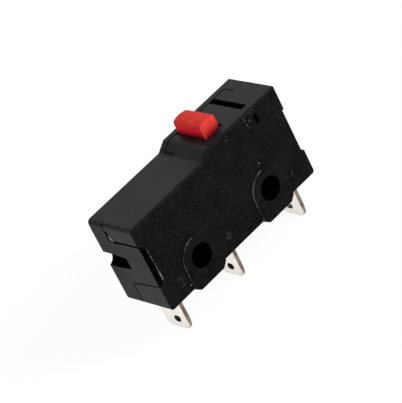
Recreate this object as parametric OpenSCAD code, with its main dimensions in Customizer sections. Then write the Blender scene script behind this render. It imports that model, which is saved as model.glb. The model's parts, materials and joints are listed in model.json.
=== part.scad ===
// Sub-miniature snap-action micro switch with a pin plunger and three blade terminals.
// X runs along the case, Y through its thickness and Z up; the plunger is on top.
// The origin is midway between the two mounting holes, on their axes and on the mid plane.

/* [Case] */
// Overall length along X
case_l = 19.8; // [19.2:0.1:24]
// Thickness between the two flat side faces
case_t = 6.1; // [5.9:0.1:7.5]
// Height of the low end above the case bottom
low_h = 9.1; // [9:0.1:11]
// Rise of the raised end above the low end
step_h = 0.7; // [0.4:0.1:1.2]
// Length of the slope between the low and the raised end
step_run = 1.05; // [0.6:0.05:1.6]
// X of the foot of that slope
step_x = -0.3; // [-1:0.1:0.4]
// Radius of the top corner of the low end
corner_r = 0.42; // [0.3:0.02:1.2]
// Radius of the two bottom corners
bottom_r = 0.3; // [0.1:0.05:0.5]
// Thickness of each side plate
plate_t = 0.8; // [0.6:0.05:0.9]
// Thickness of the floor
floor_t = 0.8; // [0.6:0.05:0.9]
// Thickness of the roof
roof_t = 0.7; // [0.5:0.05:0.9]
// Depth of the end walls above and below the latches
end_t = 1.25; // [1.1:0.05:1.5]

/* [Parting] */
// Depth of the back shell, from its flat face to the parting plane
cover_depth = 2.0; // [1.7:0.1:2.4]
// Depth of the back shell beside the tongue of the front shell
tongue_depth = 0.85; // [0.8:0.05:1]
// Distance from the high end to the tongue
tongue_inset = 1.5; // [1.2:0.1:1.8]
// Height of the lip inside the rebate
lip_h = 0.6; // [0.3:0.05:0.8]
// Thickness of that lip
lip_t = 0.25; // [0.2:0.05:0.3]
// Gap left at seams that show
seam = 0.08; // [0.03:0.01:0.1]
// Depth to which the end seams above the arms stand open
open_d = 0.4; // [0.2:0.05:0.6]
// Height of the gusset above each latch arm
gusset_h = 1.1; // [0.8:0.05:1.2]
// Reach of the gusset in front of the parting plane
gusset_l = 0.6; // [0.4:0.05:0.8]
// Depth at which the gusset sits below the end face
gusset_in = 0.12; // [0.05:0.01:0.2]
// Step of the back shell in front of the parting plane below the arms
sill_l = 0.2; // [0.1:0.05:0.4]
// Distance from the foot of the slope to the end of the tongue
tongue_foot = 0.22; // [0.1:0.02:0.4]

/* [Latches] */
// Thickness of the latch arms on the back shell
arm_t = 0.55; // [0.45:0.05:0.65]
// Lower edge of the arms above the case bottom, at the parting plane
arm_low = 2.4; // [2.2:0.05:2.8]
// Height of the arms
arm_h = 4.8; // [4:0.1:5.2]
// Rise of that lower edge from the parting plane to the nose
arm_rise = 0.4; // [0:0.05:0.5]
// Height of the chamfer along the upper inner edge of the arms
arm_cut = 0.65; // [0.3:0.05:0.8]
// Fall of the upper edge of an arm beside its gusset
arm_slack = 0.14; // [0.02:0.02:0.2]
// Length of that fall
slack_l = 1.9; // [1:0.1:2.4]
// Depth of the nose of the low end's arm below the front face
nose_drop = 0.1; // [0.05:0.05:0.3]
// Depth of the nose of the high end's arm, which stops behind the front plate
high_drop = 0.88; // [0.85:0.01:1]
// Depth of the notch in the front plate before that arm
notch_d = 0.28; // [0.1:0.02:0.4]
// Height of the catch that each arm snaps over
catch_h = 0.22; // [0.15:0.01:0.3]
// Length of the catch along Y
catch_l = 0.8; // [0.6:0.05:1]
// Distance from the tip of the nose to the face that the catch holds
nose_l = 0.5; // [0.4:0.05:0.6]
// Radius at the lower inner corner of the latch recess
recess_r = 0.8; // [0.3:0.05:0.9]
// Height of the finger pocket in each arm
pocket_h = 1.5; // [1.2:0.1:2]
// Middle of the pocket above the case bottom
pocket_up = 4.78; // [4.4:0.02:5.2]
// Depth of the pocket along X
pocket_d = 0.62; // [0.5:0.02:0.7]
// Y at which the pocket ends, measured from the mid plane
pocket_end = -0.1; // [-0.6:0.05:0.4]
// Narrowing of the pocket on each side at its inner end
pocket_taper = 0.16; // [0:0.02:0.3]
// Y at which the pocket runs out into a round scoop
scoop_y = 1.75; // [1.4:0.05:2.2]
// Distance from the end face to the axis of the scoop
scoop_out = 0.1; // [0:0.05:0.3]

/* [Mounting] */
// Distance between the two mounting holes
hole_pitch = 9.5; // [9.2:0.1:10.2]
// Radius of the mounting holes
hole_r = 1.175; // [1:0.025:1.3]
// Height of the holes above the case bottom
hole_up = 2.2; // [2:0.1:2.4]
// Wall round each hole
tube_t = 0.6; // [0.5:0.05:0.65]
// Radius of the arched boss round each hole
arch_r = 2.15; // [2:0.05:2.3]
// Height of the bosses above the side faces
arch_h = 0.15; // [0.1:0.01:0.25]
// Drop of the feet below the case bottom
foot_drop = 0.5; // [0.2:0.05:0.6]
// Half width of a foot at its sole
foot_half = 1.6; // [1.3:0.1:1.9]
// What the side of a foot towards the high end loses
foot_trim = 0.14; // [0:0.02:0.3]
// Depth of a foot along Y
foot_depth = 1.2; // [0.9:0.1:1.4]

/* [Lever slot] */
// Width of the slot for an external lever
slot_w = 0.65; // [0.5:0.05:0.8]
// Distance from the high end to the middle of the slot
slot_inset = 3.27; // [3:0.1:3.6]
// Depth of the slot
slot_d = 1.7; // [1.6:0.05:1.9]
// Y of the front end of the slot
slot_front = -2.12; // [-2.2:0.05:-1.8]
// Width of the window through which a lever's barb shows
window_x = 0.45; // [0.3:0.05:0.55]
// Height of that window
window_h = 0.9; // [0.6:0.05:1]
// Top of that window below the raised end
window_drop = 0.75; // [0.6:0.05:0.9]

/* [Plunger] */
// X of the middle of the plunger
plunger_x = 2.83; // [2.6:0.01:3]
// Y of the middle of the button
plunger_y = 0.18; // [-0.1:0.02:0.2]
// Width of the plunger along X
plunger_w = 1.94; // [1.5:0.02:2.1]
// Length of the plunger along Y
plunger_l = 3.86; // [3:0.02:3.9]
// Free height of the plunger above the hole axis
free_up = 8.95; // [8.8:0.05:9.2]
// Full travel of the plunger, pretravel and overtravel together
travel = 1.0; // [0.8:0.05:1.1]
// Radius along the top edges of the plunger
crown_r = 0.2; // [0.1:0.02:0.4]
// Clearance between the plunger and its opening
plunger_gap = 0.08; // [0.06:0.01:0.16]
// Clearance on the side of the plunger towards the high end
plunger_play = 0.24; // [0.1:0.02:0.28]
// Overhang of the flange that keeps the plunger in
flange_out = 0.45; // [0.3:0.05:0.5]
// Thickness of that flange
flange_t = 0.6; // [0.5:0.05:0.7]
// Radius of the rounded foot that presses the blade
nub_r = 0.35; // [0.25:0.05:0.45]
// Extra thickness of the stem above that foot
rib_t = 0.25; // [0.1:0.05:0.3]
// Gap between the flange and the roof at rest
flange_gap = 0.05; // [0.03:0.01:0.1]

/* [Terminals] */
// Thickness of the terminal strip
strip_t = 0.4; // [0.3:0.05:0.55]
// Width of the bent arms that carry the fixed contacts
arm_w = 2.0; // [1.8:0.1:2.4]
// Width of the blades below the case
blade_w = 3.2; // [2.6:0.1:3.3]
// Length of the blades below the case bottom
blade_l = 4.0; // [3.5:0.05:5.2]
// Radius of the lower corners of the blades
blade_r = 0.75; // [0.4:0.05:1]
// Length of the oblong wire hole, along Y
eye_l = 1.25; // [1:0.05:1.5]
// Width of the wire hole, along Z
eye_w = 0.75; // [0.6:0.05:1]
// Height of the middle of the wire hole above the tip
eye_up = 1.05; // [0.9:0.05:1.4]
// Distance from the high end to the common terminal
common_inset = 1.85; // [1.7:0.05:2]
// Distance from the common to the normally open terminal
open_pitch = 8.75; // [8.4:0.05:9.2]
// Distance from the low end to the normally closed terminal
closed_inset = 1.85; // [1.8:0.05:2.1]
// Extra width of each side of a terminal inside the case
shoulder = 0.2; // [0.1:0.05:0.3]

/* [Contacts] */
// Radius of the contact heads
head_r = 0.85; // [0.7:0.05:1]
// Thickness of a fixed contact head
head_h = 0.5; // [0.3:0.05:0.55]
// Thickness of each head of the moving contact
moving_h = 0.45; // [0.35:0.05:0.5]
// Radius of the rivet shanks
shank_r = 0.45; // [0.35:0.05:0.5]
// Opening between the contacts
contact_gap = 0.5; // [0.4:0.05:0.6]
// Distance from the normally closed terminal to the contacts
contact_reach = 1.3; // [1.2:0.05:1.6]
// Clearance left between contacts that touch
touch = 0.02; // [0.01:0.01:0.03]
// Radius of the dome on a contact face
dome_r = 4; // [3:0.5:6]

/* [Springs] */
// Thickness of the moving blade
leaf_t = 0.15; // [0.1:0.01:0.18]
// Width of the moving blade
leaf_w = 2.6; // [2.2:0.1:2.8]
// Width of the window in the moving blade
window_w = 1.5; // [1.3:0.1:1.7]
// Thickness of the bow spring
bow_t = 0.12; // [0.08:0.01:0.15]
// Width of the bow spring
bow_w = 1.2; // [1:0.1:1.3]
// Depth of the bow below the line between its ends
bow_sag = 1.0; // [0.7:0.05:1.2]
// Height of the bow's seat below the blade
seat_drop = 0.55; // [0.4:0.05:0.8]
// Distance from the common terminal to that seat
seat_reach = 2.9; // [2.6:0.05:3.1]
// Width of the blade's neck between the prongs of the fork
neck_w = 1.8; // [1.5:0.05:2]
// Height of the fork above the blade
fork_h = 1.2; // [0.8:0.1:1.4]
// Distance from the normally open terminal back to the tongue of the blade that takes the bow
window_back = 0.75; // [0.5:0.05:1]

/* [Hidden] */
$fn = 48;
over = 0.5;                                  // run of a cut past the solid it cuts
way_gap = 0.04;                              // play of a terminal in the floor
shell_gap = 0.02;                            // play between parts that rest on each other
half_l = case_l / 2;
half_t = case_t / 2;
bottom_z = -hole_up;
low_z = bottom_z + low_h;
high_z = low_z + step_h;
part_y = half_t - cover_depth;               // parting plane
tongue_y = half_t - tongue_depth;            // back edge of the front shell's tongue
tongue_x = half_l - tongue_inset;
roof_z = high_z - roof_t;
floor_z = bottom_z + floor_t;
cavity_x = half_l - end_t;
holes_x = [-hole_pitch / 2, hole_pitch / 2];
tube_r = hole_r + tube_t;
arm_z0 = bottom_z + arm_low;
arm_z1 = arm_z0 + arm_h;
arm_x = half_l - arm_t;                      // inner face of the latch arms
wall_x = arm_x - seam;                       // outer face of the end walls behind them
nose_y = [-half_t + nose_drop, -half_t + high_drop];
catch_y = [nose_y[0] + nose_l, nose_y[1] + nose_l]; // flat sides of the catches, which hold the noses
catch_z0 = arm_z0 + recess_r + arm_rise;
catch_z1 = arm_z1 - arm_cut;
catch_clear = 0.1;                           // play of the catch in its window
slot_x = half_l - slot_inset;
slot_x0 = slot_x - slot_w / 2;
slot_x1 = slot_x + slot_w / 2;
slot_wall = 0.5;                             // wall round the slot under the roof
common_x = half_l - common_inset;
open_x = common_x - open_pitch;
closed_x = -half_l + closed_inset;
contact_x = closed_x + contact_reach;
tip_z = bottom_z - blade_l;
arm_over_tube = tube_r + 0.15;               // underside of the strips that cross a tube
open_top = arm_over_tube + strip_t + head_h; // face of the normally open contact
closed_low = open_top + contact_gap + 2 * touch + 2 * moving_h + leaf_t;
leaf_z = closed_low - touch - moving_h - leaf_t; // underside of the moving blade at rest
nub_z = leaf_z + leaf_t + touch;
post_x = common_x - seat_reach;              // post that seats the bow spring
seat_z = leaf_z - seat_drop;
seat_d = 0.25;                               // side of the notch in the post
window_x0 = open_x - window_back;            // ends of the window in the blade
window_x1 = post_x + strip_t + 0.6;
post_top = seat_z + 0.4;
tail_h = 0.2;                                // formed tail of a fixed contact
tail_r = shank_r + tail_h;
pad_r = head_r + 0.05;                       // end of the blade round the moving contact
slope = step_run / step_h;

// Block between two corners
module block(a, b) { translate(a) cube(b - a); }

// Extrudes an X-Z outline from y0 to y1
module along_y(y0, y1) {
    translate([0, y1, 0]) rotate([90, 0, 0]) linear_extrude(y1 - y0) children();
}

// Rod along Y
module rod(x, z, r, y0, y1) { along_y(y0, y1) translate([x, z]) circle(r); }

// Both ends of the case
module both_ends() { for (s = [-1, 1]) scale([s, 1, 1]) children(); }

// What a lower left corner at the origin loses when it is rounded
module corner(r) {
    difference() {
        translate([-over, -over]) square([r + over, r + over]);
        translate([r, r]) circle(r);
    }
}

// Side outline of the whole switch, drawn in by the given amounts
module side_outline(ends = 0, low = 0, top = 0) {
    shift = sqrt(1 + slope * slope) * top - slope * top;
    least_r = 0.1;
    difference() {
        polygon([
            [-half_l + ends, bottom_z + low], [half_l - ends, bottom_z + low],
            [half_l - ends, high_z - top], [step_x + step_run + shift, high_z - top],
            [step_x + shift, low_z - top], [-half_l + ends, low_z - top]
        ]);
        translate([-half_l + ends, low_z - top]) mirror([0, 1]) corner(max(corner_r - top, least_r));
        translate([-half_l + ends, bottom_z + low]) corner(max(bottom_r - low, least_r));
        translate([half_l - ends, bottom_z + low]) mirror([1, 0]) corner(max(bottom_r - low, least_r));
    }
}

// Cavity outline, grown outwards by g
module cavity_outline(g = 0) { side_outline(end_t - g, floor_t - g, roof_t - g); }

// Arched boss round a mounting hole, running down into a foot
module arch_outline(x) {
    translate([x, 0]) {
        circle(arch_r);
        polygon([[-arch_r, 0], [-arch_r, bottom_z], [-foot_half, bottom_z - foot_drop],
            [foot_half - foot_trim, bottom_z - foot_drop], [arch_r - foot_trim, bottom_z],
            [arch_r - foot_trim, 0]]);
    }
}

// Bosses on one side face; side is -1 at the front and 1 at the back
module arches(side) {
    for (x = holes_x) scale([1, side, 1]) {
        along_y(half_t - plate_t / 2, half_t + arch_h) arch_outline(x);
        intersection() {
            along_y(half_t - foot_depth, half_t) arch_outline(x);
            block([-half_l, 0, bottom_z - 2 * foot_drop], [half_l, half_t, bottom_z + floor_t / 2]);
        }
    }
}

// Latch arm of the low end (0) or the high end (1), or the recess in the front shell that takes it:
// grown by g, with its slack filled
module latch_space(end, y0, g = 0) {
    x0 = arm_x - g;
    z0 = arm_z0 - g;
    z1 = arm_z1 + g;
    y1 = part_y + over;
    rise = arm_rise / (part_y + half_t);
    fall = g > 0 ? 0 : arm_slack;
    foot_y = part_y - gusset_l;
    scale([2 * end - 1, 1, 1]) intersection() {
        along_y(y0, y1) difference() {
            translate([x0, z0]) square([half_l + over - x0, z1 - z0]);
            translate([x0, z0]) corner(recess_r + g);
            polygon([[x0, z1 - arm_cut], [half_l, z1], [half_l, z1 + over], [x0 - over, z1 + over],
                [x0 - over, z1 - arm_cut]]);
        }
        translate([x0 - over, 0, 0]) rotate([90, 0, 90]) linear_extrude(half_l + 2 * over - x0)
            polygon([[y1, z0 + rise * (part_y - y1)], [y0, z0 + rise * (part_y - y0)], [y0, z1],
                [foot_y - slack_l, z1], [foot_y, z1 - fall], [foot_y, z1], [y1, z1]]);
    }
}

// Notch in the front plate before the high end's arm
module plate_notch() {
    x0 = half_l - notch_d;
    z0 = arm_z0 + arm_rise;
    along_y(-half_t - over, nose_y[1]) polygon([[x0, z0], [half_l + over, z0 - notch_d - over],
        [half_l + over, arm_z1 + seam], [x0, arm_z1 + seam]]);
}

// Step of the back shell below each arm, or the notch that takes it: grown by g
module sills(x1, z0, g = 0) {
    both_ends() block([arm_x - g, part_y - sill_l - g, z0], [x1, part_y + over, arm_z0 + over]);
}

// Stepped gusset between each arm and the back shell, grown by g
module gussets(x1, g = 0) {
    foot_y = part_y - gusset_l - g;
    top_z = arm_z1 + gusset_h + g;
    both_ends() translate([arm_x - g, 0, 0]) rotate([90, 0, 90]) linear_extrude(x1 - arm_x + g)
        polygon([[part_y + over, arm_z1 - over], [foot_y, arm_z1 - over],
            [foot_y, arm_z1 + gusset_h / 4], [part_y - g / 2, top_z], [part_y + over, top_z]]);
}

// Openings in the floor for the three terminals, from y0 to y1
module terminal_ways(y0, y1) {
    w = strip_t / 2 + way_gap;
    for (x = [common_x, open_x, closed_x])
        block([x - w, y0, bottom_z - over], [x + w, y1, floor_z + over]);
}

// Front shell: side plate, walls, mounting tubes, roof with its tongue, and latch catches
module case() {
    color([0.09, 0.09, 0.1]) difference() {
        union() {
            difference() {
                union() {
                    along_y(-half_t, part_y) side_outline();
                    intersection() {
                        along_y(part_y - over, tongue_y) side_outline();
                        block([step_x + tongue_foot, -half_t, low_z], [tongue_x, tongue_y, high_z + over]);
                    }
                }
                along_y(-half_t + plate_t, tongue_y + over) cavity_outline();
                along_y(part_y - lip_h, part_y + over) intersection() {
                    cavity_outline(lip_t + seam);
                    translate([-half_l, bottom_z]) square([case_l, low_h]);
                }
                latch_space(0, -half_t - over, seam);
                latch_space(1, nose_y[1] - seam, seam);
                plate_notch();
                gussets(half_l + over, seam);
                sills(half_l + over, bottom_z - over, seam);
            }
            arches(-1);
            for (x = holes_x) rod(x, 0, tube_r, -half_t, half_t - plate_t - shell_gap);
            block([slot_x0 - slot_wall, -half_t + plate_t / 2, high_z - slot_d - slot_wall],
                [slot_x1 + slot_wall, tongue_y, high_z - roof_t / 2]);
            latch_catches();
        }
        for (x = holes_x) rod(x, 0, hole_r, -half_t - over, half_t + over);
        terminal_ways(-blade_w / 2 - way_gap, part_y + over);
        block([slot_x0, slot_front, high_z - slot_d], [slot_x1, tongue_y + over, high_z + over]);
        block([slot_x1 - window_x, -half_t - over, high_z - window_drop - window_h],
            [slot_x1, slot_front + over, high_z - window_drop]);
        block([plunger_x - plunger_w / 2 - plunger_gap, plunger_y - plunger_l / 2 - plunger_gap,
            roof_z - over], [plunger_x + plunger_w / 2 + plunger_play, tongue_y + over, high_z + over]);
    }
}

// Wedges on the end walls that the latch noses snap over
module latch_catches() {
    for (end = [0, 1]) scale([2 * end - 1, 1, 1]) translate([0, catch_y[end], catch_z0])
        linear_extrude(catch_z1 - catch_z0) polygon([[wall_x - seam, 0], [wall_x + catch_h, 0],
            [wall_x + catch_h, catch_l / 3], [wall_x, catch_l], [wall_x - seam, catch_l]]);
}

// Back shell: side plate, rim with its lip, and the two latch arms
module cover() {
    color([0.09, 0.09, 0.1]) difference() {
        union() {
            difference() {
                along_y(part_y, half_t) side_outline();
                along_y(part_y - over, half_t - plate_t) cavity_outline();
                intersection() {
                    along_y(part_y - over, tongue_y + seam) side_outline();
                    block([step_x + tongue_foot - seam, -half_t, low_z],
                        [tongue_x + seam, tongue_y + seam, high_z + over]);
                }
            }
            cover_lip();
            for (end = [0, 1]) latch_space(end, nose_y[end]);
            gussets(half_l - gusset_in);
            intersection() {
                along_y(part_y - over, part_y + over) side_outline();
                sills(half_l, bottom_z);
            }
            arches(1);
        }
        for (x = holes_x) {
            rod(x, 0, hole_r, part_y - lip_h - over, half_t + over);
            rod(x, 0, tube_r + seam, part_y - lip_h - over, half_t - plate_t);
        }
        terminal_ways(part_y - lip_h - over, blade_w / 2 + way_gap);
        both_ends() block([half_l, -half_t - over, bottom_z - over],
            [half_l + 2 * over, half_t + over, high_z + over]);
        for (end = [0, 1]) scale([2 * end - 1, 1, 1]) translate([arm_x, catch_y[end], catch_z0])
            block([-over, -catch_clear / 2, -catch_clear],
                [catch_h, catch_l + catch_clear, catch_z1 - catch_z0 + catch_clear]);
        both_ends() block([half_l - open_d, part_y - over, arm_z1 + gusset_h],
            [half_l + over, part_y + seam, low_z - corner_r / 2]);
        finger_pockets();
    }
}

// Lip that stands in the rebate of the front shell, open at the tongue and at the terminals
module cover_lip() {
    difference() {
        along_y(part_y - lip_h + seam, part_y + over) intersection() {
            cavity_outline(lip_t);
            translate([-half_l, bottom_z]) square([case_l, low_z - bottom_z]);
        }
        along_y(part_y - lip_h - over, half_t) cavity_outline();
        block([step_x - end_t, -half_t, low_z - roof_t - over], [half_l, half_t, high_z + over]);
    }
}

// Tapered finger pockets in the arms, running out at the back as round scoops
module finger_pockets() {
    z = bottom_z + pocket_up;
    both_ends() {
        translate([half_l - pocket_d, 0, 0]) rotate([90, 0, 90]) linear_extrude(pocket_d + over)
            polygon([[pocket_end, z - pocket_h / 2 + pocket_taper], [scoop_y, z - pocket_h / 2],
                [scoop_y, z + pocket_h / 2], [pocket_end, z + pocket_h / 2 - pocket_taper]]);
        rod(half_l + scoop_out, z, pocket_h / 2, scoop_y - shell_gap, half_t + over);
    }
}

// Side view of the button above the flange, w wide
module crowned(w, z) {
    h = w / 2;
    translate([-h, z]) square([w, free_up - z - crown_r]);
    translate([-h + crown_r, z]) square([w - 2 * crown_r, free_up - z]);
    for (s = [-1, 1]) translate([s * (h - crown_r), free_up - crown_r]) circle(crown_r);
}

// Button with a retaining flange and a rounded foot
module plunger() {
    w = plunger_w / 2;
    l = plunger_l / 2;
    flange_z = roof_z - flange_gap;
    foot_z = nub_z + nub_r;
    foot_l = leaf_w / 2;
    color([0.8, 0.16, 0.12]) translate([plunger_x, 0, 0]) {
        translate([0, plunger_y, 0]) {
            intersection() {
                along_y(-l, l) crowned(plunger_w, flange_z - over);
                rotate([90, 0, 90]) translate([0, 0, -w]) linear_extrude(plunger_w)
                    crowned(plunger_l, flange_z - over);
            }
            block([-w - flange_out, -l, flange_z - flange_t], [w + flange_out, l, flange_z]);
        }
        block([-nub_r, -foot_l, foot_z], [nub_r, foot_l, flange_z - flange_t / 2]);
        rod(0, foot_z, nub_r, -foot_l, foot_l);
        block([-nub_r - rib_t, -foot_l - rib_t, foot_z + 2 * nub_r],
            [nub_r + rib_t, foot_l + rib_t, flange_z - flange_t / 2]);
    }
}

// Outline in Y-Z of a terminal: blade with rounded lower corners and shoulders inside the case
module terminal_outline(top) {
    h = blade_w / 2;
    translate([-h, tip_z + blade_r]) square([blade_w, floor_z - tip_z]);
    translate([-h + blade_r, tip_z]) square([blade_w - 2 * blade_r, 2 * blade_r]);
    for (s = [-1, 1]) translate([s * (h - blade_r), tip_z + blade_r]) circle(blade_r);
    translate([-h - shoulder, floor_z + shell_gap])
        square([blade_w + 2 * shoulder, top - floor_z - shell_gap]);
}

// Upright strip of a terminal at x with its wire hole
module upright(x, top) {
    translate([x - strip_t / 2, 0, 0]) rotate([90, 0, 90]) linear_extrude(strip_t) difference() {
        terminal_outline(top);
        for (s = [-1, 1]) translate([s * (eye_l - eye_w) / 2, tip_z + eye_up]) circle(eye_w / 2);
        translate([-(eye_l - eye_w) / 2, tip_z + eye_up - eye_w / 2]) square([eye_l - eye_w, eye_w]);
    }
}

// Common terminal: forked top that holds the blade, and a tongue bent out to seat the bow
module common_terminal() {
    lance_h = common_x - post_x + post_top - arm_over_tube;
    color([0.86, 0.84, 0.8]) difference() {
        union() {
            upright(common_x, leaf_z + fork_h);
            block([post_x, -bow_w / 2, arm_over_tube], [common_x, bow_w / 2, arm_over_tube + strip_t]);
            block([post_x, -bow_w / 2, arm_over_tube], [post_x + strip_t, bow_w / 2, post_top]);
        }
        block([common_x - strip_t, -neck_w / 2 - seam, leaf_z - touch],
            [common_x + strip_t, neck_w / 2 + seam, leaf_z + 2 * fork_h]);
        block([common_x - strip_t, -bow_w / 2 - seam, arm_over_tube - lance_h],
            [common_x + strip_t, bow_w / 2 + seam, arm_over_tube]);
        translate([post_x, 0, seat_z]) rotate([0, 45, 0])
            cube([seat_d, bow_w + over, seat_d], center = true);
    }
}

// Normally open terminal: bent at right angles to carry its contact under the moving one
module normally_open_terminal() {
    z = arm_over_tube;
    color([0.86, 0.84, 0.8]) difference() {
        union() {
            upright(open_x, z + strip_t);
            block([closed_x + strip_t, -arm_w / 2, z], [open_x + strip_t / 2, arm_w / 2, z + strip_t]);
        }
        translate([contact_x, 0, z - over]) cylinder(r = shank_r + touch, h = strip_t + 2 * over);
    }
}

// Normally closed terminal: runs up the end wall and turns over the moving contact
module normally_closed_terminal() {
    z = closed_low + head_h;
    color([0.86, 0.84, 0.8]) difference() {
        union() {
            upright(closed_x, z + strip_t);
            block([closed_x - strip_t / 2, -arm_w / 2, z],
                [contact_x + arm_w / 2, arm_w / 2, z + strip_t]);
        }
        translate([contact_x, 0, z - over]) cylinder(r = shank_r + touch, h = strip_t + 2 * over);
    }
}

// Contact head standing on z = 0 with a slightly domed face
module head(r, h) {
    intersection() {
        cylinder(r = r, h = h);
        translate([0, 0, h - dome_r]) sphere(dome_r, $fn = 96);
    }
}

// Rivet contact: head on the side of z0, shank and formed tail
module rivet(z0, up) {
    translate([contact_x, 0, z0]) scale([1, 1, up]) {
        head(head_r, head_h);
        translate([0, 0, -strip_t - tail_h]) cylinder(r = shank_r, h = strip_t + 2 * tail_h);
        translate([0, 0, -strip_t - tail_h]) cylinder(r = tail_r, h = tail_h - touch);
    }
}

module normally_open_contact() { color([0.8, 0.8, 0.82]) rivet(arm_over_tube + strip_t, 1); }
module normally_closed_contact() { color([0.8, 0.8, 0.82]) rivet(closed_low + head_h, -1); }

// Moving blade: window for the bow spring, neck in the fork and a T head behind it
module moving_blade() {
    tail = common_x + strip_t / 2;
    neck_x = common_x - strip_t;
    pad_end = contact_x + pad_r;
    full_x = pad_end + leaf_w / 2;
    color([0.76, 0.5, 0.3]) translate([0, 0, leaf_z]) linear_extrude(leaf_t) difference() {
        union() {
            translate([contact_x, 0]) circle(pad_r);
            polygon([[contact_x, -pad_r], [pad_end, -pad_r], [full_x, -leaf_w / 2],
                [neck_x, -leaf_w / 2], [neck_x, leaf_w / 2], [full_x, leaf_w / 2],
                [pad_end, pad_r], [contact_x, pad_r]]);
            translate([neck_x - leaf_t, -neck_w / 2]) square([tail - neck_x + 2 * leaf_t, neck_w]);
            translate([tail + touch, -leaf_w / 2]) square([leaf_t + seam, leaf_w]);
        }
        translate([contact_x, 0]) circle(shank_r + touch);
        translate([window_x0, -window_w / 2]) square([window_x1 - window_x0, window_w]);
    }
}

// Double-headed contact riveted through the end of the blade
module moving_contact() {
    color([0.8, 0.8, 0.82]) translate([contact_x, 0, leaf_z]) {
        scale([1, 1, -1]) head(pad_r - 2 * seam, moving_h);
        translate([0, 0, -leaf_t]) cylinder(r = shank_r, h = 3 * leaf_t);
        translate([0, 0, leaf_t]) head(pad_r - 2 * seam, moving_h);
    }
}

// Bow spring: an arc from the post of the common terminal to the window of the blade
module bow_spring() {
    x0 = window_x0 + 2 * touch;
    x1 = post_x - touch;
    z0 = leaf_z + leaf_t / 2;
    z1 = seat_z;
    chord = sqrt((x1 - x0) * (x1 - x0) + (z1 - z0) * (z1 - z0));
    r = (chord * chord / 4 + bow_sag * bow_sag) / (2 * bow_sag);
    tilt = atan2(z1 - z0, x1 - x0);
    half = asin(chord / 2 / r);
    color([0.72, 0.55, 0.35]) translate([(x0 + x1) / 2, 0, (z0 + z1) / 2]) rotate([0, -tilt, 0])
        translate([0, 0, r - bow_sag]) along_y(-bow_w / 2, bow_w / 2) difference() {
            intersection() {
                circle(r + bow_t / 2, $fn = 120);
                polygon([[0, 0], 2 * r * [-sin(half), -cos(half)], [0, -3 * r],
                    2 * r * [sin(half), -cos(half)]]);
            }
            circle(r - bow_t / 2, $fn = 120);
        }
}

case();
cover();
plunger();
common_terminal();
normally_open_terminal();
normally_closed_terminal();
normally_open_contact();
normally_closed_contact();
moving_blade();
moving_contact();
bow_spring();
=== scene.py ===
import json
import math
import bmesh
import bpy
from mathutils import Matrix, Vector


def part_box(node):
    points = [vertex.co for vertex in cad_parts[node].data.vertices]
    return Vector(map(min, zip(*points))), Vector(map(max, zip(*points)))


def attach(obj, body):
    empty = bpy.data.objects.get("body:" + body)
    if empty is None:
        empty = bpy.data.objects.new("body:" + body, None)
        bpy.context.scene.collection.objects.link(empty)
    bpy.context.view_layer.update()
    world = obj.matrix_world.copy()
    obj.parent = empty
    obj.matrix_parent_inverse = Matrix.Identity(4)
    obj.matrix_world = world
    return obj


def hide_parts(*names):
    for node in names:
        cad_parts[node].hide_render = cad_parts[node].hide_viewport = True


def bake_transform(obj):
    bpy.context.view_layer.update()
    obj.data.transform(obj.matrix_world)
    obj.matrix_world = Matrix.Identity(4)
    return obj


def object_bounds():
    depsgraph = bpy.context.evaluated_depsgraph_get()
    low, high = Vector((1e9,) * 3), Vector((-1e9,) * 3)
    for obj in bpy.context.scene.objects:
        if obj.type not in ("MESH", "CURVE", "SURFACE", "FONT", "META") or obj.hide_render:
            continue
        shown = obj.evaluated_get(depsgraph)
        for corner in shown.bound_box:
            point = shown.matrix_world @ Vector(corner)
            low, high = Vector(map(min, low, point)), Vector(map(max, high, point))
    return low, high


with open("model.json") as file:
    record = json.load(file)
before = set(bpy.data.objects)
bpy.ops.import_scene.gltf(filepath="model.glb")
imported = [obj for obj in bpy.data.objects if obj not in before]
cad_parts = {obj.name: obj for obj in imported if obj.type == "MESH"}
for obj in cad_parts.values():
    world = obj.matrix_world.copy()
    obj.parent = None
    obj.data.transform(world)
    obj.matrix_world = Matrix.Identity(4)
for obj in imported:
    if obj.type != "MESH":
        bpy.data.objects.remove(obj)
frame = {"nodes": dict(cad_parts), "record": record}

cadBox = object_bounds()
nodes = frame["nodes"]
mounts = {mount["name"]: mount for mount in frame["record"]["mounts"]}
print("frame loaded:", len(nodes), "nodes")

mm = 0.001
beside = 0.1 * mm  # places nearer than this lie beside each other
touch = 0.02 * mm  # places nearer than this count as the same
weld = 0.002 * mm  # vertices nearer than this are merged
hair = 0.0005 * mm  # slack of a cut


# Shader maths: a socket with operators, and one way to add any other node

class Wire:
    def __init__(self, tree, socket):
        self.tree = tree
        self.socket = socket

    def math(self, operation, other, first=None):
        made = self.tree.nodes.new("ShaderNodeMath")
        made.operation = operation
        for slot, value in zip(made.inputs, (self if first is None else first, other)):
            if isinstance(value, Wire):
                self.tree.links.new(value.socket, slot)
            else:
                slot.default_value = value
        return Wire(self.tree, made.outputs[0])

    def __add__(self, other):
        return self.math("ADD", other)

    def __mul__(self, other):
        return self.math("MULTIPLY", other)

    def __sub__(self, other):
        return self.math("SUBTRACT", other)

    def __rsub__(self, other):
        return self.math("SUBTRACT", self, first=other)

    def __gt__(self, other):
        return self.math("GREATER_THAN", other)

    __radd__ = __add__
    __rmul__ = __mul__


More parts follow.
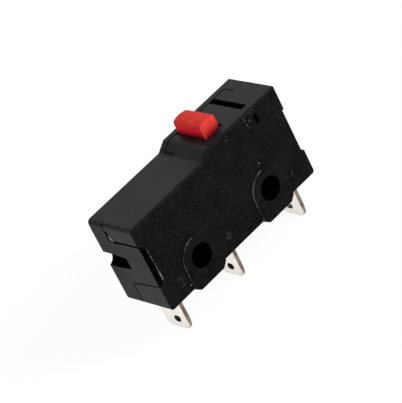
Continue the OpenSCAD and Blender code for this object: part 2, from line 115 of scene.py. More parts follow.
class Paint:
    def __init__(self, name):
        self.material = bpy.data.materials.new(name)
        self.material.use_nodes = True
        self.tree = self.material.node_tree
        self.tree.nodes.clear()
        self.output = self.tree.nodes.new("ShaderNodeOutputMaterial")
        self.shader = self.tree.nodes.new("ShaderNodeBsdfPrincipled")
        self.tree.links.new(self.shader.outputs[0], self.output.inputs["Surface"])

    def feed(self, socket, value):
        if isinstance(value, Wire):
            self.tree.links.new(value.socket, socket)
        else:
            socket.default_value = value

    def add(self, kind, settings=None, inputs=None, out=0):
        made = self.tree.nodes.new(kind)
        for name, value in (settings or {}).items():
            setattr(made, name, value)
        for name, value in (inputs or {}).items():
            self.feed(made.inputs[name], value)
        return Wire(self.tree, made.outputs[out])

    def set(self, **values):
        for name, value in values.items():
            self.feed(self.shader.inputs[name.replace("_", " ")], value)

    def place(self, turn=(0, 0, 0), stretch=(1, 1, 1)):
        spot = self.add("ShaderNodeTexCoord", out="Object")
        return self.add("ShaderNodeMapping", inputs={"Vector": spot, "Rotation": turn, "Scale": stretch})

    def along(self, axis, where):
        return self.add("ShaderNodeSeparateXYZ", inputs={"Vector": where}, out=axis)

    def away(self, where, centre):
        return self.add("ShaderNodeVectorMath", {"operation": "DISTANCE"}, {0: where, 1: centre}, out="Value")

    def scaled(self, colour, factor):
        return self.add("ShaderNodeVectorMath", {"operation": "SCALE"}, {0: colour, "Scale": factor})

    def noise(self, where, size, detail, rough):
        return self.add("ShaderNodeTexNoise", inputs={
            "Vector": where, "Scale": 1.0 / size, "Detail": detail, "Roughness": rough}, out="Fac")

    def spread(self, value, low, high, toLow=0.0, toHigh=1.0):
        return self.add("ShaderNodeMapRange", inputs={
            "Value": value, "From Min": low, "From Max": high, "To Min": toLow, "To Max": toHigh})

    def blend(self, factor, first, second):
        ends = [colour if isinstance(colour, Wire) else (*colour, 1.0) for colour in (first, second)]
        return self.add("ShaderNodeMix", {"data_type": "RGBA"}, {0: factor, 6: ends[0], 7: ends[1]}, out=2)

    def bump(self, height, depth, strength):
        return self.add("ShaderNodeBump", inputs={"Height": height, "Distance": depth, "Strength": strength})


# Moulded plastic. tone: darkest and lightest of the mottling; reach: how far the noise swings to get there;
# depth: of the grain, in mm; dust: share of the dust cells that hold a speck

shellFinish = {
    "smooth": dict(colour=(0.0092, 0.0086, 0.0091), gloss=0.098, rough=0.36,
                   tone=(0.35, 1.70), reach=0.09, depth=0.016, dust=0.25),
    "rear": dict(colour=(0.0088, 0.0082, 0.0087), gloss=0.074, rough=0.40,
                 tone=(0.35, 1.70), reach=0.09, depth=0.016, dust=0.25,
                 fade=(-0.4 * mm, 2.4 * mm, 2.2, 0.7)),  # from and to along Y, and the level at each
    "eroded": dict(colour=(0.0037, 0.0034, 0.0039), gloss=0.041, rough=0.70,
                   tone=(0.00, 2.70), reach=0.12, depth=0.014, dust=0.06, flat=True),
    "rim": dict(colour=(0.0060, 0.0058, 0.0062), gloss=0.060, rough=0.68,
                tone=(0.20, 2.10), reach=0.12, depth=0.006, dust=0.0),
    # paintedShade: near-black paint standing in for the shade in bores, slots, pockets and behind the front
    # plate
    "paintedShade": dict(colour=(0.0012, 0.0011, 0.0014), gloss=0.0, rough=0.90,
                 tone=(0.60, 1.40), reach=0.12, depth=0.002, dust=0.0),
    "shoulder": dict(colour=(0.0060, 0.0058, 0.0060), gloss=0.30, rough=0.40,
                     tone=(0.60, 1.50), reach=0.12, depth=0.004, dust=0.0),
    # paintedRimHighlight and paintedEdgeHighlight: lighter paint on edges that face left, painted highlights
    # where light catches them
    "paintedRimHighlight": dict(colour=(0.0500, 0.0490, 0.0510), gloss=0.15, rough=0.50,
                 tone=(0.10, 1.90), reach=0.06, depth=0.004, dust=0.0),
    "paintedEdgeHighlight": dict(colour=(0.1500, 0.1490, 0.1510), gloss=0.20, rough=0.50,
                 tone=(0.20, 2.20), reach=0.04, depth=0.004, dust=0.0),
    # print: the raised numbers, a lighter black than the shell as a painted highlight where their strokes
    # catch light
    "print": dict(colour=(0.0135, 0.0130, 0.0140), gloss=0.06, rough=0.55,
                  tone=(0.00, 3.00), reach=0.12, depth=0.004, dust=0.0),
    # paintedGlint: light grey paint, a painted highlight on part of the left gusset
    "paintedGlint": dict(colour=(0.3600, 0.3600, 0.3550), gloss=0.80, rough=0.30,
                  tone=(0.50, 1.40), reach=0.12, depth=0.0, dust=0.0),
}
mottling = dict(  # size, detail and roughness of each layer of noise
    fine=(0.15 * mm, 3.0, 0.6), fleck=(0.34 * mm, 2.0, 0.5), cloud=(2.6 * mm, 3.0, 0.55))
mottleShare = dict(fine=0.45, fleck=0.35, cloud=0.20)
sheen = dict(low=0.35, high=0.65, smoother=0.05, rougher=0.06, bump=0.9)  # how the flecks vary the gloss
dust = dict(cell=1.5 * mm, spot=0.075 * mm, shade=(0.09, 0.09, 0.09))
specks = dict(  # places in mm
    reach=0.085 * mm, core=0.4, shade=(0.20, 0.20, 0.20),
    places=((-0.80, 1.49, 6.90), (-0.23, 0.22, 6.90), (4.90, -3.05, 2.72), (-9.90, 2.20, -1.05),
            (-7.02, -3.05, -1.60)))
scuffs = dict(  # light scratches that thin out from the middle of each patch: centre and reach in mm
    scratch=(0.20 * mm, 2.0, 0.5), core=0.3, thin=0.16, low=0.57, high=0.64, shade=(0.080, 0.080, 0.084),
    patches=(((5.65, -3.05, 6.80), 1.20), ((6.45, -3.05, 7.25), 0.60), ((2.95, -3.05, 7.10), 0.50)))


def inMetres(place):
    return tuple(value * mm for value in place)


def addDust(paint, where, shade, share, flat):
    turned = paint.place(turn=(math.radians(90), 0, 0)) if flat else where
    cell = dict(settings={"voronoi_dimensions": "2D" if flat else "3D"},
                inputs={"Vector": turned, "Scale": 1.0 / dust["cell"]})
    distance = paint.add("ShaderNodeTexVoronoi", **cell, out="Distance")
    chosen = paint.add("ShaderNodeTexVoronoi", **cell, out="Color") > 1.0 - share
    spot = paint.spread(distance, 0.0, dust["spot"] / dust["cell"], 1.0, 0.0)
    return paint.blend(chosen * spot, shade, dust["shade"])


def addSpecks(paint, where, shade):
    for place in specks["places"]:
        away = paint.away(where, inMetres(place))
        spot = paint.spread(away, specks["core"] * specks["reach"], specks["reach"], 1.0, 0.0)
        shade = paint.blend(spot, shade, specks["shade"])
    return shade


def addScuffs(paint, where, shade):
    scratch = paint.noise(where, *scuffs["scratch"])
    for place, reach in scuffs["patches"]:
        away = paint.away(where, inMetres(place))
        thin = paint.spread(away, scuffs["core"] * reach * mm, reach * mm, 0.0, scuffs["thin"])
        mark = paint.spread(scratch - thin, scuffs["low"], scuffs["high"])
        shade = paint.blend(mark, shade, scuffs["shade"])
    return shade


def makeShell(name, look):
    paint = Paint(name)
    where = paint.place()
    layers = {layer: paint.noise(where, *shape) for layer, shape in mottling.items()}
    mixed = sum(layers[layer] * share for layer, share in mottleShare.items())
    tone = paint.spread(mixed, 0.5 - look["reach"], 0.5 + look["reach"], *look["tone"])
    if "fade" in look:
        tone = tone * paint.spread(paint.along("Y", where), *look["fade"])
    shade = paint.scaled(look["colour"], tone)
    flat = look.get("flat", False)
    if look["dust"] > 0:
        shade = addDust(paint, where, shade, look["dust"], flat)
        shade = addSpecks(paint, where, shade)
    if flat:
        shade = addScuffs(paint, where, shade)
    rough = paint.spread(layers["fleck"], sheen["low"], sheen["high"],
                         look["rough"] - sheen["smoother"], look["rough"] + sheen["rougher"])
    paint.set(Base_Color=shade, Roughness=rough, Specular_IOR_Level=look["gloss"])
    if look["depth"] > 0:
        paint.set(Normal=paint.bump(layers["fine"], look["depth"] * mm, sheen["bump"]))
    return paint.material


# Reds of the button: the colour from clearZ up, and the darker one it fades to at footZ, a painted shade at
# the button's foot.
# redPaintedHighlight is a painted highlight on the front-left corner, redPaintedLight a painted light on the
# left side.
# tone and rough: where the noise starts and ends, and the value at each

reds = {
    "redButton": ((0.64, 0.032, 0.023), (0.14, 0.001, 0.006)),
    "redPaintedHighlight": ((0.80, 0.060, 0.045), (0.60, 0.020, 0.024)),
    "redPaintedLight": ((0.88, 0.016, 0.022), (0.12, 0.001, 0.006)),
}
redLook = dict(footZ=7.62 * mm, clearZ=8.32 * mm, cloud=(0.9 * mm, 3.0, 0.6), grain=(0.14 * mm, 2.0, 0.5),
               cloudShare=0.3, grainShare=0.7, tone=(0.36, 0.64, 0.76, 1.24), rough=(0.3, 0.7, 0.50, 0.62),
               depth=0.006 * mm, bump=0.6, gloss=0.14)


def makeRed(name, top, shadedFoot):
    paint = Paint(name)
    where = paint.place()
    cloud = paint.noise(where, *redLook["cloud"])
    grain = paint.noise(where, *redLook["grain"])
    # painted shade: darker from clearZ down to footZ
    rise = paint.spread(paint.along("Z", where), redLook["footZ"], redLook["clearZ"])
    mixed = cloud * redLook["cloudShare"] + grain * redLook["grainShare"]
    shade = paint.scaled(paint.blend(rise, shadedFoot, top), paint.spread(mixed, *redLook["tone"]))
    paint.set(Base_Color=shade, Roughness=paint.spread(grain, *redLook["rough"]),
              Specular_IOR_Level=redLook["gloss"],
              Normal=paint.bump(grain, redLook["depth"], redLook["bump"]))
    return paint.material


# Metals. stain: how much darker the clouds are; dull: from and to along Z, and the level at each

metals = {
    "tinPlate": dict(colour=(0.970, 0.910, 0.855), rough=0.24, dull=(-6.2 * mm, -4.4 * mm, 0.86, 1.0)),
    "shearedEdge": dict(colour=(0.310, 0.260, 0.220), rough=0.55, stain=0.60),
    "tinEdge": dict(colour=(0.660, 0.580, 0.500), rough=0.40),
    # paintedEyeShade: dark paint inside the eyes of the open and closed blades, standing in for the shade
    # seen there
    "paintedEyeShade": dict(colour=(0.035, 0.032, 0.028), rough=0.70),
    "silver": dict(colour=(0.860, 0.860, 0.870), rough=0.25),
    "springStrip": dict(colour=(0.760, 0.470, 0.280), rough=0.30),
}
rolling = dict(stretch=(1.0, 1.0, 0.15), streak=(0.12 * mm, 3.0, 0.6), cloud=(0.9 * mm, 2.0, 0.5),
               streakShare=0.35, cloudShare=0.65, low=0.3, high=0.7, smoother=0.07, rougher=0.08,
               depth=0.002 * mm, bump=0.5)


def makeMetal(name, colour, rough, stain=0.12, dull=None):
    paint = Paint(name)
    where = paint.place()
    streak = paint.noise(paint.place(stretch=rolling["stretch"]), *rolling["streak"])
    cloud = paint.noise(where, *rolling["cloud"])
    stained = tuple(channel * (1 - stain) for channel in colour)
    shade = paint.blend(paint.spread(cloud, rolling["low"], rolling["high"]), stained, colour)
    if dull:
        shade = paint.scaled(shade, paint.spread(paint.along("Z", where), *dull))
    mixed = streak * rolling["streakShare"] + cloud * rolling["cloudShare"]
    paint.set(Base_Color=shade, Metallic=1.0,
              Roughness=paint.spread(mixed, rolling["low"], rolling["high"],
                                     rough - rolling["smoother"], rough + rolling["rougher"]),
              Normal=paint.bump(streak, rolling["depth"], rolling["bump"]))
    return paint.material


shellPaint = {name: makeShell(name + "Shell", look) for name, look in shellFinish.items()}
buttonPaint = [makeRed(name, *ends) for name, ends in reds.items()]
metalPaint = {name: makeMetal(name, **look) for name, look in metals.items()}
print("finishes made")


# Helpers for pieces

flatAngle = math.radians(0.6)  # faces that turn less than this are joined
creaseAngle = math.radians(20)  # edges that turn less than this aren't eased
smoothAngle = math.radians(30)  # edges that turn more than this stay sharp
highlightSteps = 2


def linkPiece(work, name):
    mesh = bpy.data.meshes.new(name)
    work.to_mesh(mesh)
    work.free()
    piece = bpy.data.objects.new(name, mesh)
    bpy.context.scene.collection.objects.link(piece)
    return piece


def openCopy(node):
    work = bmesh.new()
    work.from_mesh(nodes[node].data)
    bmesh.ops.transform(work, matrix=nodes[node].matrix_world, verts=work.verts)
    bmesh.ops.remove_doubles(work, verts=work.verts, dist=weld)
    bmesh.ops.dissolve_limit(work, angle_limit=flatAngle, verts=work.verts, edges=work.edges)
    return work


def middleOf(edge):
    return (edge.verts[0].co + edge.verts[1].co) / 2


def allOf(work):
    return work.verts[:] + work.edges[:] + work.faces[:]


def keepSide(work, place, normal):  # cuts the mesh at a plane, keeps what is behind it and closes the cut
    cut = bmesh.ops.bisect_plane(work, geom=allOf(work), dist=hair, plane_co=place, plane_no=normal,
                                 clear_outer=True)
    rim = [part for part in cut["geom_cut"] if isinstance(part, bmesh.types.BMEdge)]
    bmesh.ops.holes_fill(work, edges=rim, sides=0)


def splitFaces(work, faces, place, normal):
    edges = list({edge for face in faces for edge in face.edges})
    verts = list({vert for face in faces for vert in face.verts})
    bmesh.ops.bisect_plane(work, geom=verts + edges + faces, dist=hair, plane_co=place, plane_no=normal)


def sliceAlong(work, axis, start, end, count):  # rings of edges across the piece, so that it can curve
    for step in range(1, count):
        place = [0.0, 0.0, 0.0]
        place[axis] = start + (end - start) * step / count
        normal = [1.0 if i == axis else 0.0 for i in range(3)]
        bmesh.ops.bisect_plane(work, geom=allOf(work), dist=hair, plane_co=place, plane_no=normal)


def isOutward(edge):
    return len(edge.link_faces) == 2 and edge.is_convex


# Bevels outward edges, each by its own width. Edges with a painted highlight come first and keep a finish of
# their own:
# for each kind, which edges they are, their width and their material's index
def easeEdges(piece, pickWidth, widest, segments, finish, highlighted=()):
    work = bmesh.new()
    work.from_mesh(piece.data)
    for isHighlighted, width, index in highlighted:
        chosen = [edge for edge in work.edges if isOutward(edge) and isHighlighted(edge)]
        bmesh.ops.bevel(work, geom=chosen, offset=width, affect="EDGES", segments=highlightSteps, profile=0.5,
                        material=index)
    layer = work.edges.layers.float.new("bevel_weight_edge")
    for edge in work.edges:
        if isOutward(edge) and edge.calc_face_angle() > creaseAngle:
            if all(face.material_index == 0 for face in edge.link_faces):
                edge[layer] = pickWidth(edge) / widest
    work.to_mesh(piece.data)
    work.free()
    bevel = piece.modifiers.new("ease", "BEVEL")
    bevel.limit_method = "WEIGHT"
    bevel.width = widest
    bevel.segments = segments
    bevel.material = finish
    bevel.use_clamp_overlap = False
    bevel.miter_outer = "MITER_ARC"
    even = piece.modifiers.new("even", "WEIGHTED_NORMAL")  # flat faces stay flat beside rounded edges
    even.keep_sharp = True
    even.weight = 100


def settle(piece, body, slotName, *replaced):
    for face in piece.data.polygons:
        face.use_smooth = True
    bpy.context.view_layer.objects.active = piece
    with bpy.context.temp_override(object=piece, active_object=piece, selected_objects=[piece],
                                   selected_editable_objects=[piece]):
        bpy.ops.object.shade_smooth_by_angle(angle=smoothAngle)
    if body:
        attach(piece, body)
    if replaced:
        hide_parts(*replaced)


# The two shells: where things are, and how wide each kind of edge is eased

shellPlan = dict(
    bossRise=0.15 * mm, floorZ=-2.2 * mm, lowTop=6.9 * mm,  # bosses above the plates; bottom and low roof
    stepX=-0.30 * mm, stepRun=1.05 * mm, bendHalf=0.32 * mm,  # slope of the roof, strips beside its bends
    partingY=1.05 * mm, partingDip=0.05 * mm,  # where the shells meet, and how far its roof stretch dips
    plateX=9.27 * mm, armTop=5.08 * mm,  # where a plate stops beside a latch arm, and the arm's recess
    gapLow=4.50 * mm, gussetX=9.78 * mm, gussetLow=4.68 * mm, gussetTop=6.2 * mm,  # open seams over the arms
    shoulderRun=0.45 * mm, curveRun=1.2 * mm, curveAngle=math.radians(24),  # rounding from roof to ends
    slotFrom=6.4 * mm, slotTo=7.05 * mm, slotDrop=0.5 * mm)  # edge of the plate beside the lever slot
easing = dict(front=0.20 * mm, back=0.16 * mm, end=0.12 * mm, small=0.06 * mm, seam=0.045 * mm,
              gap=0.09 * mm, paintedRimHighlight=0.07 * mm, paintedEdgeHighlight=0.09 * mm, segments=4)
skin = dict(x=0.20 * mm, y=0.15 * mm, z=0.10 * mm)  # how far in a face may lie and still be an outer one
paintedGlint = dict(  # the left gusset gets a painted highlight on one side of a line and painted shade on the other: a place on the line, and the way across
    place=Vector((0, 0.78 * mm, 5.20 * mm)), across=Vector((0, 0.82, -0.57)))
paintedShadePlaces = dict(  # boxes whose faces get painted shade, for the shade inside the slot, window, opening and pockets: lower and upper corners, in mm
    slot=((6.29, -2.13, 5.80), (6.97, 2.30, 7.595)),
    window=((6.49, -3.04, 5.90), (6.97, -1.60, 6.87)),
    opening=((1.77, -1.85, 6.85), (4.08, 2.30, 7.595)),
    leftPocket=((-9.89, -0.11, 1.80), (-9.10, 2.90, 3.40)),
    rightPocket=((9.10, -0.11, 1.80), (9.89, 2.90, 3.40)),
)
holesX = [mounts[name]["pos_m"][0] for name in ("left_hole", "right_hole")]
holeR = mounts["left_hole"]["dims"]["r_mm"] * mm
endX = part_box("case")[1][0]
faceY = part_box("cover")[1][1] - shellPlan["bossRise"]
finishOrder = ["smooth", "rear", "eroded", "paintedShade", "rim", "shoulder", "paintedRimHighlight", "paintedEdgeHighlight", "paintedGlint"]


# In the tests below, a normal's share along an axis says which way a face looks

def inPlace(spot, name, slack=0.0):
    low, high = paintedShadePlaces[name]
    return all(low[i] * mm - slack < spot[i] < high[i] * mm + slack for i in range(3))


def inHole(spot, slack):
    return any(math.hypot(spot.x - holeX, spot.z) < holeR + slack for holeX in holesX)


# faces in the bores, behind the front plate and in the listed openings get painted shade
def getsPaintedShade(spot, normal):
    inBore = inHole(spot, touch) and abs(normal.y) < 0.5
    behindPlate = abs(normal.y) > 0.7 and abs(spot.y) < faceY - touch
    return inBore or behindPlate or any(inPlace(spot, name) for name in paintedShadePlaces)


def isOuter(face):
    spot = face.calc_center_median()
    normal = face.normal
    return ((normal.z > 0.5 and spot.z > shellPlan["lowTop"] - skin["z"])
            or (normal.z < -0.5 and spot.z < shellPlan["floorZ"] + skin["z"])
            or (abs(normal.x) > 0.5 and abs(spot.x) > endX - skin["x"])
            or (abs(normal.y) > 0.5 and abs(spot.y) > faceY - skin["y"])
            or (abs(normal.y) < 0.5 and abs(spot.y) > faceY))


def meetsLeft(edge):  # between a face to the front and one to the left
    return (min(face.normal.x for face in edge.link_faces) < -0.15
            and any(face.normal.y < -0.9 for face in edge.link_faces))


# left-facing rims of the bosses and the plate's edge beside the left arm get a painted highlight
def isBossEdge(edge):
    spot = middleOf(edge)
    onBoss = abs(spot.y + faceY + shellPlan["bossRise"]) < touch
    return meetsLeft(edge) and onBoss and not inHole(spot, beside)


def isPlateEdge(edge):
    spot = middleOf(edge)
    return meetsLeft(edge) and abs(spot.y + faceY) < touch and abs(spot.x + shellPlan["plateX"]) < touch


def isGusset(spot):
    return abs(abs(spot.x) - shellPlan["gussetX"]) < touch


def edgeWidth(edge):
    spot = middleOf(edge)
    onCurve = abs(spot.x) > endX - shellPlan["curveRun"] and edge.calc_face_angle() < shellPlan["curveAngle"]
    onRoof = all(face.normal.z > 0.3 for face in edge.link_faces)
    if onCurve or onRoof or inPlace(spot, "window", beside) or not any(map(isOuter, edge.link_faces)):
        return 0.0
    level = abs(edge.verts[0].co.y - edge.verts[1].co.y) < touch / 2
    atEnd = abs(spot.x) > endX - touch
    if level and abs(abs(spot.y) - faceY) < touch:
        besideSlot = shellPlan["slotFrom"] < spot.x < shellPlan["slotTo"]
        drop = 0.0 if besideSlot else shellPlan["slotDrop"]
        if spot.z > shellPlan["lowTop"] - drop or (atEnd and spot.z > shellPlan["armTop"]):
            return easing["front"] if spot.y < 0 else easing["back"]
        return easing["small"]
    if atEnd and shellPlan["gapLow"] < spot.z < shellPlan["gussetTop"]:
        return easing["gap"]
    if atEnd and spot.z > shellPlan["lowTop"]:
        return easing["end"]
    onParting = level and abs(spot.y - shellPlan["partingY"]) < beside
    onLowTop = abs(spot.z - shellPlan["lowTop"]) < shellPlan["partingDip"]
    return 0.0 if onParting and onLowTop else easing["seam"]


def shellFinishOf(face, plain):
    spot, normal = face.center, face.normal
    if getsPaintedShade(spot, normal):
        return "paintedShade"
    if abs(normal.y) > 0.7 and abs(spot.y) > faceY - touch:
        return "eroded"
    atShoulder = spot.x > endX - shellPlan["shoulderRun"] and spot.z > shellPlan["gussetTop"]
    if atShoulder and min(normal.x, normal.z) > 0.28:
        return "shoulder"
    # the left gusset: painted highlight on one side of the line, painted shade on the other; the right one
    # all painted shade
    if abs(normal.x) > 0.9 and isGusset(spot) and shellPlan["gussetLow"] < spot.z < shellPlan["gussetTop"]:
        return "paintedGlint" if spot.x < 0 and (spot - paintedGlint["place"]).dot(paintedGlint["across"]) > 0 else "paintedShade"
    return "smooth" if normal.z > 0.5 else plain


def makeShellPiece(node, name, plain, highlighted=()):
    work = openCopy(node)
    for bendX in (shellPlan["stepX"], shellPlan["stepX"] + shellPlan["stepRun"]):
        for side in (-1, 1):  # narrow strips beside the bends of the roof keep the flats evenly shaded
            roof = [face for face in work.faces
                    if face.normal.z > 0.3 and face.calc_center_median().z > shellPlan["lowTop"] - skin["z"]]
            splitFaces(work, roof, (bendX + side * shellPlan["bendHalf"], 0, 0), (1, 0, 0))
    # the left gusset is split where its painted highlight meets its painted shade
    gusset = [face for face in work.faces if isGusset(face.calc_center_median())]
    splitFaces(work, gusset, paintedGlint["place"], paintedGlint["across"])
    shell = linkPiece(work, name)
    easeEdges(shell, edgeWidth, easing["front"], easing["segments"], finishOrder.index("rim"), highlighted)
    for finish in finishOrder:
        shell.data.materials.append(shellPaint[finish])
    for face in shell.data.polygons:
        if face.material_index == 0:
            face.material_index = finishOrder.index(shellFinishOf(face, plain))
    settle(shell, "housing", "shell", node)


# painted highlights on the left-facing boss rims and plate edge of the front shell
makeShellPiece("case", "frontShell", "smooth", [(isBossEdge, easing["paintedRimHighlight"], finishOrder.index("paintedRimHighlight")),
                                                (isPlateEdge, easing["paintedEdgeHighlight"], finishOrder.index("paintedEdgeHighlight"))])
makeShellPiece("cover", "backShell", "rear")
print("shells made")


# Raised numbers beside the terminals, in the shell's black; their lighter finish is a painted highlight on
# the strokes

numeralPlan = dict(size=1.45 * mm, rise=0.045 * mm, sink=0.01 * mm, thin=-0.004 * mm, steps=6,
                   footZ=-1.12 * mm)
numerals = {"1": 7.20 * mm, "4": -1.75 * mm, "2": -8.10 * mm}  # X of each number's left side


def makeNumeral(figure, place):
    text = bpy.data.curves.new("numeral" + figure, "FONT")
    text.body = figure
    text.size = numeralPlan["size"]
    text.offset = numeralPlan["thin"]
    text.extrude = (numeralPlan["rise"] + numeralPlan["sink"]) / 2
    text.resolution_u = numeralPlan["steps"]
    holder = bpy.data.objects.new("draft" + figure, text)
    bpy.context.scene.collection.objects.link(holder)
    bpy.context.view_layer.update()
    mesh = bpy.data.meshes.new_from_object(holder.evaluated_get(bpy.context.evaluated_depsgraph_get()))
    bpy.data.objects.remove(holder)
    work = bmesh.new()
    work.from_mesh(mesh)
    bmesh.ops.remove_doubles(work, verts=work.verts, dist=weld)
    bmesh.ops.rotate(work, verts=work.verts, cent=(0, 0, 0), matrix=Matrix.Rotation(math.radians(90), 3, "X"))
    middle = -faceY + numeralPlan["sink"] - text.extrude
    bmesh.ops.translate(work, verts=work.verts, vec=(place, middle, numeralPlan["footZ"]))
    bmesh.ops.recalc_face_normals(work, faces=work.faces)
    numeral = linkPiece(work, "numeral" + figure)
    numeral.data.materials.append(shellPaint["print"])
    settle(numeral, "housing", "shell")


for figure, place in numerals.items():
    makeNumeral(figure, place)
print("numbers made")


# The push button: flange and foot as built, with a crowned cap of its own

cap = dict(bottom=6.90 * mm, overlap=0.04 * mm, flange=0.45 * mm, topR=0.34 * mm, steps=6, slices=(12, 20),
           corners={(-1, -1): 0.15 * mm, (1, -1): 0.30 * mm, (1, 1): 0.35 * mm, (-1, 1): 0.26 * mm},
           crown=0.22 * mm, sag=0.08 * mm, crownPower=4, bulge=0.30 * mm, bulgeFrom=8.56 * mm, bulgePower=3,
           boxyFront=4.0, boxyRear=2.0, sideTop=0.20 * mm)


def roundedBlock(low, high):  # its upright corners are rounded first, then its upper rim
    middle = (low + high) / 2
    size = high - low
    box = bmesh.new()
    bmesh.ops.create_cube(box, size=1.0)
    bmesh.ops.scale(box, verts=box.verts, vec=size)
    bmesh.ops.translate(box, verts=box.verts, vec=middle)
    for (sideX, sideY), radius in cap["corners"].items():
        corner = [edge for edge in box.edges
                  if abs(edge.verts[0].co.z - edge.verts[1].co.z) > size.z - touch
                  and (edge.verts[0].co.x - middle.x) * sideX > size.x / 2 - touch
                  and (edge.verts[0].co.y - middle.y) * sideY > size.y / 2 - touch]
        # the front-left corner takes the red with a painted highlight
        bmesh.ops.bevel(box, geom=corner, offset=radius, affect="EDGES", segments=cap["steps"], profile=0.5,
                        material=1 if (sideX, sideY) == (-1, -1) else 0)
    rim = [edge for edge in box.edges if all(vert.co.z > high.z - touch for vert in edge.verts)]
    bmesh.ops.bevel(box, geom=rim, offset=cap["topR"], affect="EDGES", segments=cap["steps"], profile=0.5,
                    material=-1)
    sliceAlong(box, 0, low.x, high.x, cap["slices"][0])
    sliceAlong(box, 1, low.y, high.y, cap["slices"][1])
    return box


def crispen(spot, low, high):  # squares the rounding of the long edges, less so towards the rear on the left
    middleX = (low.x + high.x) / 2
    innerX = (high.x - low.x) / 2 - cap["topR"]
    innerZ = high.z - cap["topR"]
    offX = abs(spot.x - middleX) - innerX
    if offX > 0 and spot.z > innerZ:
        outX = min(1.0, offX / cap["topR"])
        outZ = min(1.0, (spot.z - innerZ) / cap["topR"])
        rear = 0.0 if spot.x > middleX else max(0.0, (spot.y - low.y) / (high.y - low.y))
        power = 2 / (cap["boxyFront"] + (cap["boxyRear"] - cap["boxyFront"]) * rear)
        spot.x = middleX + math.copysign(innerX + cap["topR"] * outX ** power, spot.x - middleX)
        spot.z = innerZ + cap["topR"] * outZ ** power


def makeButtonPiece():
    plungerLow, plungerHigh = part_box("plunger")
    top = mounts["plunger_top"]["pos_m"]
    halfX = plungerHigh[0] - top[0] - cap["flange"]
    halfY = top[1] - plungerLow[1]
    low = Vector((top[0] - halfX, top[1] - halfY, cap["bottom"]))
    high = Vector((top[0] + halfX, top[1] + halfY, plungerHigh[2]))
    work = openCopy("plunger")
    keepSide(work, (0, 0, cap["bottom"] + cap["overlap"]), (0, 0, 1))
    box = roundedBlock(low, high)
    for vert in box.verts:  # the roof is crowned, and the rear end bulges above a level
        spot = vert.co
        offX = (spot.x - top[0]) / halfX
        offY = (spot.y - top[1]) / halfY
        crispen(spot, low, high)
        rise = max(0.0, (spot.z - low.z) / (high.z - low.z)) ** cap["crownPower"]
        lift = max(0.0, (spot.z - cap["bulgeFrom"]) / (high.z - cap["bulgeFrom"]))
        spot.z += (cap["crown"] * (1 - offX ** 2) * (1 - offY ** 2 / 2) - cap["sag"]) * rise
        spot.y += cap["bulge"] * (1 - offX ** 2) * max(0.0, offY) ** cap["bulgePower"] * lift * (2 - lift)
    box.normal_update()
    # faces on the left side take the red with painted light
    for face in box.faces:
        isSide = face.normal.x < -0.8 and face.calc_center_median().z < high.z - cap["sideTop"]
        if isSide and face.material_index == 0:
            face.material_index = 2
    draft = bpy.data.meshes.new("draftCap")
    box.to_mesh(draft)
    box.free()
    work.from_mesh(draft)
    button = linkPiece(work, "pushButton")
    for look in buttonPaint:  # body, painted highlight on the front-left corner, painted light on the left side
        button.data.materials.append(look)
    settle(button, "plunger", "button", "plunger")


makeButtonPiece()
print("button made")


# Terminals: bright strip with duller sheared edges

bladePlan = dict(edge=0.10 * mm, segments=3, eyeUp=1.05 * mm,
                 eyeHalfLength=0.64 * mm, eyeHalfHeight=0.39 * mm,
                 nearScale=(0.72, 0.98), farScale=(0.46, 0.66), eyeLean=-0.22)
blades = [  # node, piece, mount, how far its eye sits off the middle, finish inside the eye (painted shade for the open and closed blades)
    ("common_terminal", "commonBlade", "common_blade", 0.10 * mm, "shearedEdge"),
    ("normally_open_terminal", "openBlade", "normally_open_blade", -0.26 * mm, "paintedEyeShade"),
    ("normally_closed_terminal", "closedBlade", "normally_closed_blade", -0.26 * mm, "paintedEyeShade"),
]


def makeBlade(node, name, mountName, eyeShift, eyeFinish):
    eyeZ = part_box(node)[0][2] + bladePlan["eyeUp"]
    middleX = mounts[mountName]["pos_m"][0]

    def inEye(spot):
        return abs(spot.y) < bladePlan["eyeHalfLength"] and abs(spot.z - eyeZ) < bladePlan["eyeHalfHeight"]

    def bladeWidth(edge):
        above = max(vert.co.z for vert in edge.verts) > shellPlan["floorZ"]
        return 0.0 if above or inEye(middleOf(edge)) else bladePlan["edge"]

    blade = linkPiece(openCopy(node), name)
    finishes = ("tinPlate", "shearedEdge", eyeFinish, "tinEdge")
    easeEdges(blade, bladeWidth, bladePlan["edge"], bladePlan["segments"], finishes.index("tinEdge"))
    for finish in finishes:
        blade.data.materials.append(metalPaint[finish])
    for face in blade.data.polygons:
        if face.center.z < shellPlan["floorZ"] and abs(face.normal.x) < 0.5:
            face.material_index = 2 if inEye(face.center) else 1
    for vert in blade.data.vertices:  # the eye narrows towards its far side, as a punched one does
        if inEye(vert.co):
            scaleY, scaleZ = bladePlan["nearScale" if vert.co.x < middleX else "farScale"]
            vert.co.y = vert.co.y * scaleY + (vert.co.z - eyeZ) * bladePlan["eyeLean"] + eyeShift
            vert.co.z = eyeZ + (vert.co.z - eyeZ) * scaleZ
    settle(blade, "housing", "terminal", node)


for plan in blades:
    makeBlade(*plan)
print("terminals made")


# Contacts and springs

springPlan = dict(slices=14, fork=0.2 * mm, bowFollow=0.70)
pressX = mounts["plunger_top"]["pos_m"][0]
commonX = mounts["common_blade"]["pos_m"][0]


def makeSpring(work, name, body, node):
    spring = linkPiece(work, name)
    spring.data.materials.append(metalPaint["springStrip"])
    settle(spring, body, "spring", node)
    return spring


for node in ("normally_open_contact", "normally_closed_contact", "moving_contact"):
    nodes[node].data.materials.clear()
    nodes[node].data.materials.append(metalPaint["silver"])

arm = openCopy("moving_blade")
keepSide(arm, (pressX, 0, 0), (1, 0, 0))
makeSpring(arm, "bladeArm", "blade", "moving_blade")

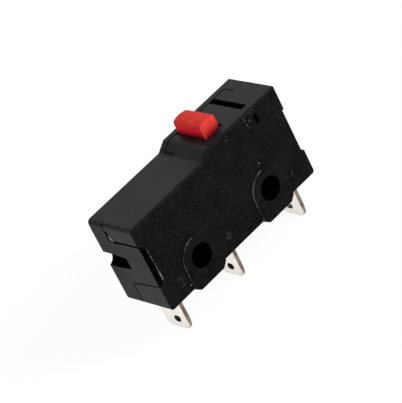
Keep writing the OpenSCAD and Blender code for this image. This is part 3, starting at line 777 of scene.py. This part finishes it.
tail = openCopy("moving_blade")
keepSide(tail, (pressX, 0, 0), (-1, 0, 0))
sliceAlong(tail, 0, pressX, commonX, springPlan["slices"])
tail = makeSpring(tail, "bladeTail", None, "moving_blade")
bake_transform(tail)

bow = makeSpring(openCopy("bow_spring"), "bowSpring", None, "bow_spring")
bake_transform(bow)
print("springs made")


# Floor, lamps and camera

floorLook = dict(width=1.2, colour=(0.9, 0.9, 0.9, 1.0), rough=0.9, seen=1.04, keepShadow=0.10)
worldLook = dict(fill=0.40, seen=1.0)
white = (1, 1, 1, 1)
seenRays = ("Is Camera Ray", "Is Glossy Ray", "Is Transmission Ray")
lamps = {
    "key": dict(direction=(0.444, -0.712, 0.554), distance=0.55, power=2.3, size=0.22),
    "side": dict(direction=(-0.860, -0.330, 0.390), distance=0.55, power=0.55, size=0.30),
}
view = dict(azimuth=30.91, elevation=30.26, roll=27.08, distance=0.2229, lens=223.3, sensor=36.0,
            clip=(0.01, 10.0), target=Vector((-0.175 * mm, 0.427 * mm, 1.723 * mm)))


def seenDirectly(tree):  # 1 for what the camera sees, also in a mirror or through glass
    ray = tree.nodes.new("ShaderNodeLightPath")
    return sum(Wire(tree, ray.outputs[kind]) for kind in seenRays)


def makeFloor():
    work = bmesh.new()
    bmesh.ops.create_grid(work, x_segments=1, y_segments=1, size=floorLook["width"] / 2)
    bmesh.ops.translate(work, verts=work.verts, vec=(0, 0, cadBox[0][2]))
    floor = linkPiece(work, "floor")
    paint = Paint("paleFloor")
    paint.set(Base_Color=floorLook["colour"], Roughness=floorLook["rough"], Specular_IOR_Level=0.0)
    glow = paint.add("ShaderNodeEmission", inputs={"Color": white, "Strength": floorLook["seen"]})
    share = seenDirectly(paint.tree) * (1 - floorLook["keepShadow"])
    plain = Wire(paint.tree, paint.shader.outputs[0])
    mix = paint.add("ShaderNodeMixShader", inputs={0: share, 1: plain, 2: glow})
    paint.feed(paint.output.inputs["Surface"], mix)
    floor.data.materials.append(paint.material)


def makeWorld():
    world = bpy.data.worlds.new("studio")
    world.use_nodes = True
    bpy.context.scene.world = world
    tree = world.node_tree
    tree.nodes.clear()
    mix = tree.nodes.new("ShaderNodeMixShader")
    tree.links.new(seenDirectly(tree).socket, mix.inputs[0])
    for slot, strength in ((1, worldLook["fill"]), (2, worldLook["seen"])):
        light = tree.nodes.new("ShaderNodeBackground")
        light.inputs["Color"].default_value = white
        light.inputs["Strength"].default_value = strength
        tree.links.new(light.outputs[0], mix.inputs[slot])
    output = tree.nodes.new("ShaderNodeOutputWorld")
    tree.links.new(mix.outputs[0], output.inputs["Surface"])


def addLamp(name, look):
    lamp = bpy.data.lights.new(name, "AREA")
    lamp.shape = "DISK"
    lamp.size = look["size"]
    lamp.energy = look["power"]
    holder = bpy.data.objects.new(name, lamp)
    bpy.context.scene.collection.objects.link(holder)
    place = Vector(look["direction"]) * look["distance"]
    holder.location = place
    holder.rotation_euler = (-place).to_track_quat("-Z", "Y").to_euler()


def addCamera():
    data = bpy.data.cameras.new("camera")
    data.lens = view["lens"]
    data.sensor_width = view["sensor"]
    data.clip_start, data.clip_end = view["clip"]
    camera = bpy.data.objects.new("camera", data)
    bpy.context.scene.collection.objects.link(camera)
    turn = math.radians(view["azimuth"])
    rise = math.radians(view["elevation"])
    forward = Vector((math.sin(turn) * math.cos(rise), math.cos(turn) * math.cos(rise), -math.sin(rise)))
    level = forward.to_track_quat("-Z", "Y").to_matrix().to_4x4()
    tilt = Matrix.Rotation(-math.radians(view["roll"]), 4, "Z")
    camera.matrix_world = Matrix.Translation(view["target"] - forward * view["distance"]) @ level @ tilt
    bpy.context.scene.camera = camera


makeFloor()
makeWorld()
for name, look in lamps.items():
    addLamp(name, look)
addCamera()
bpy.context.scene.view_settings.view_transform = "Standard"
print("floor, lamps and camera set")
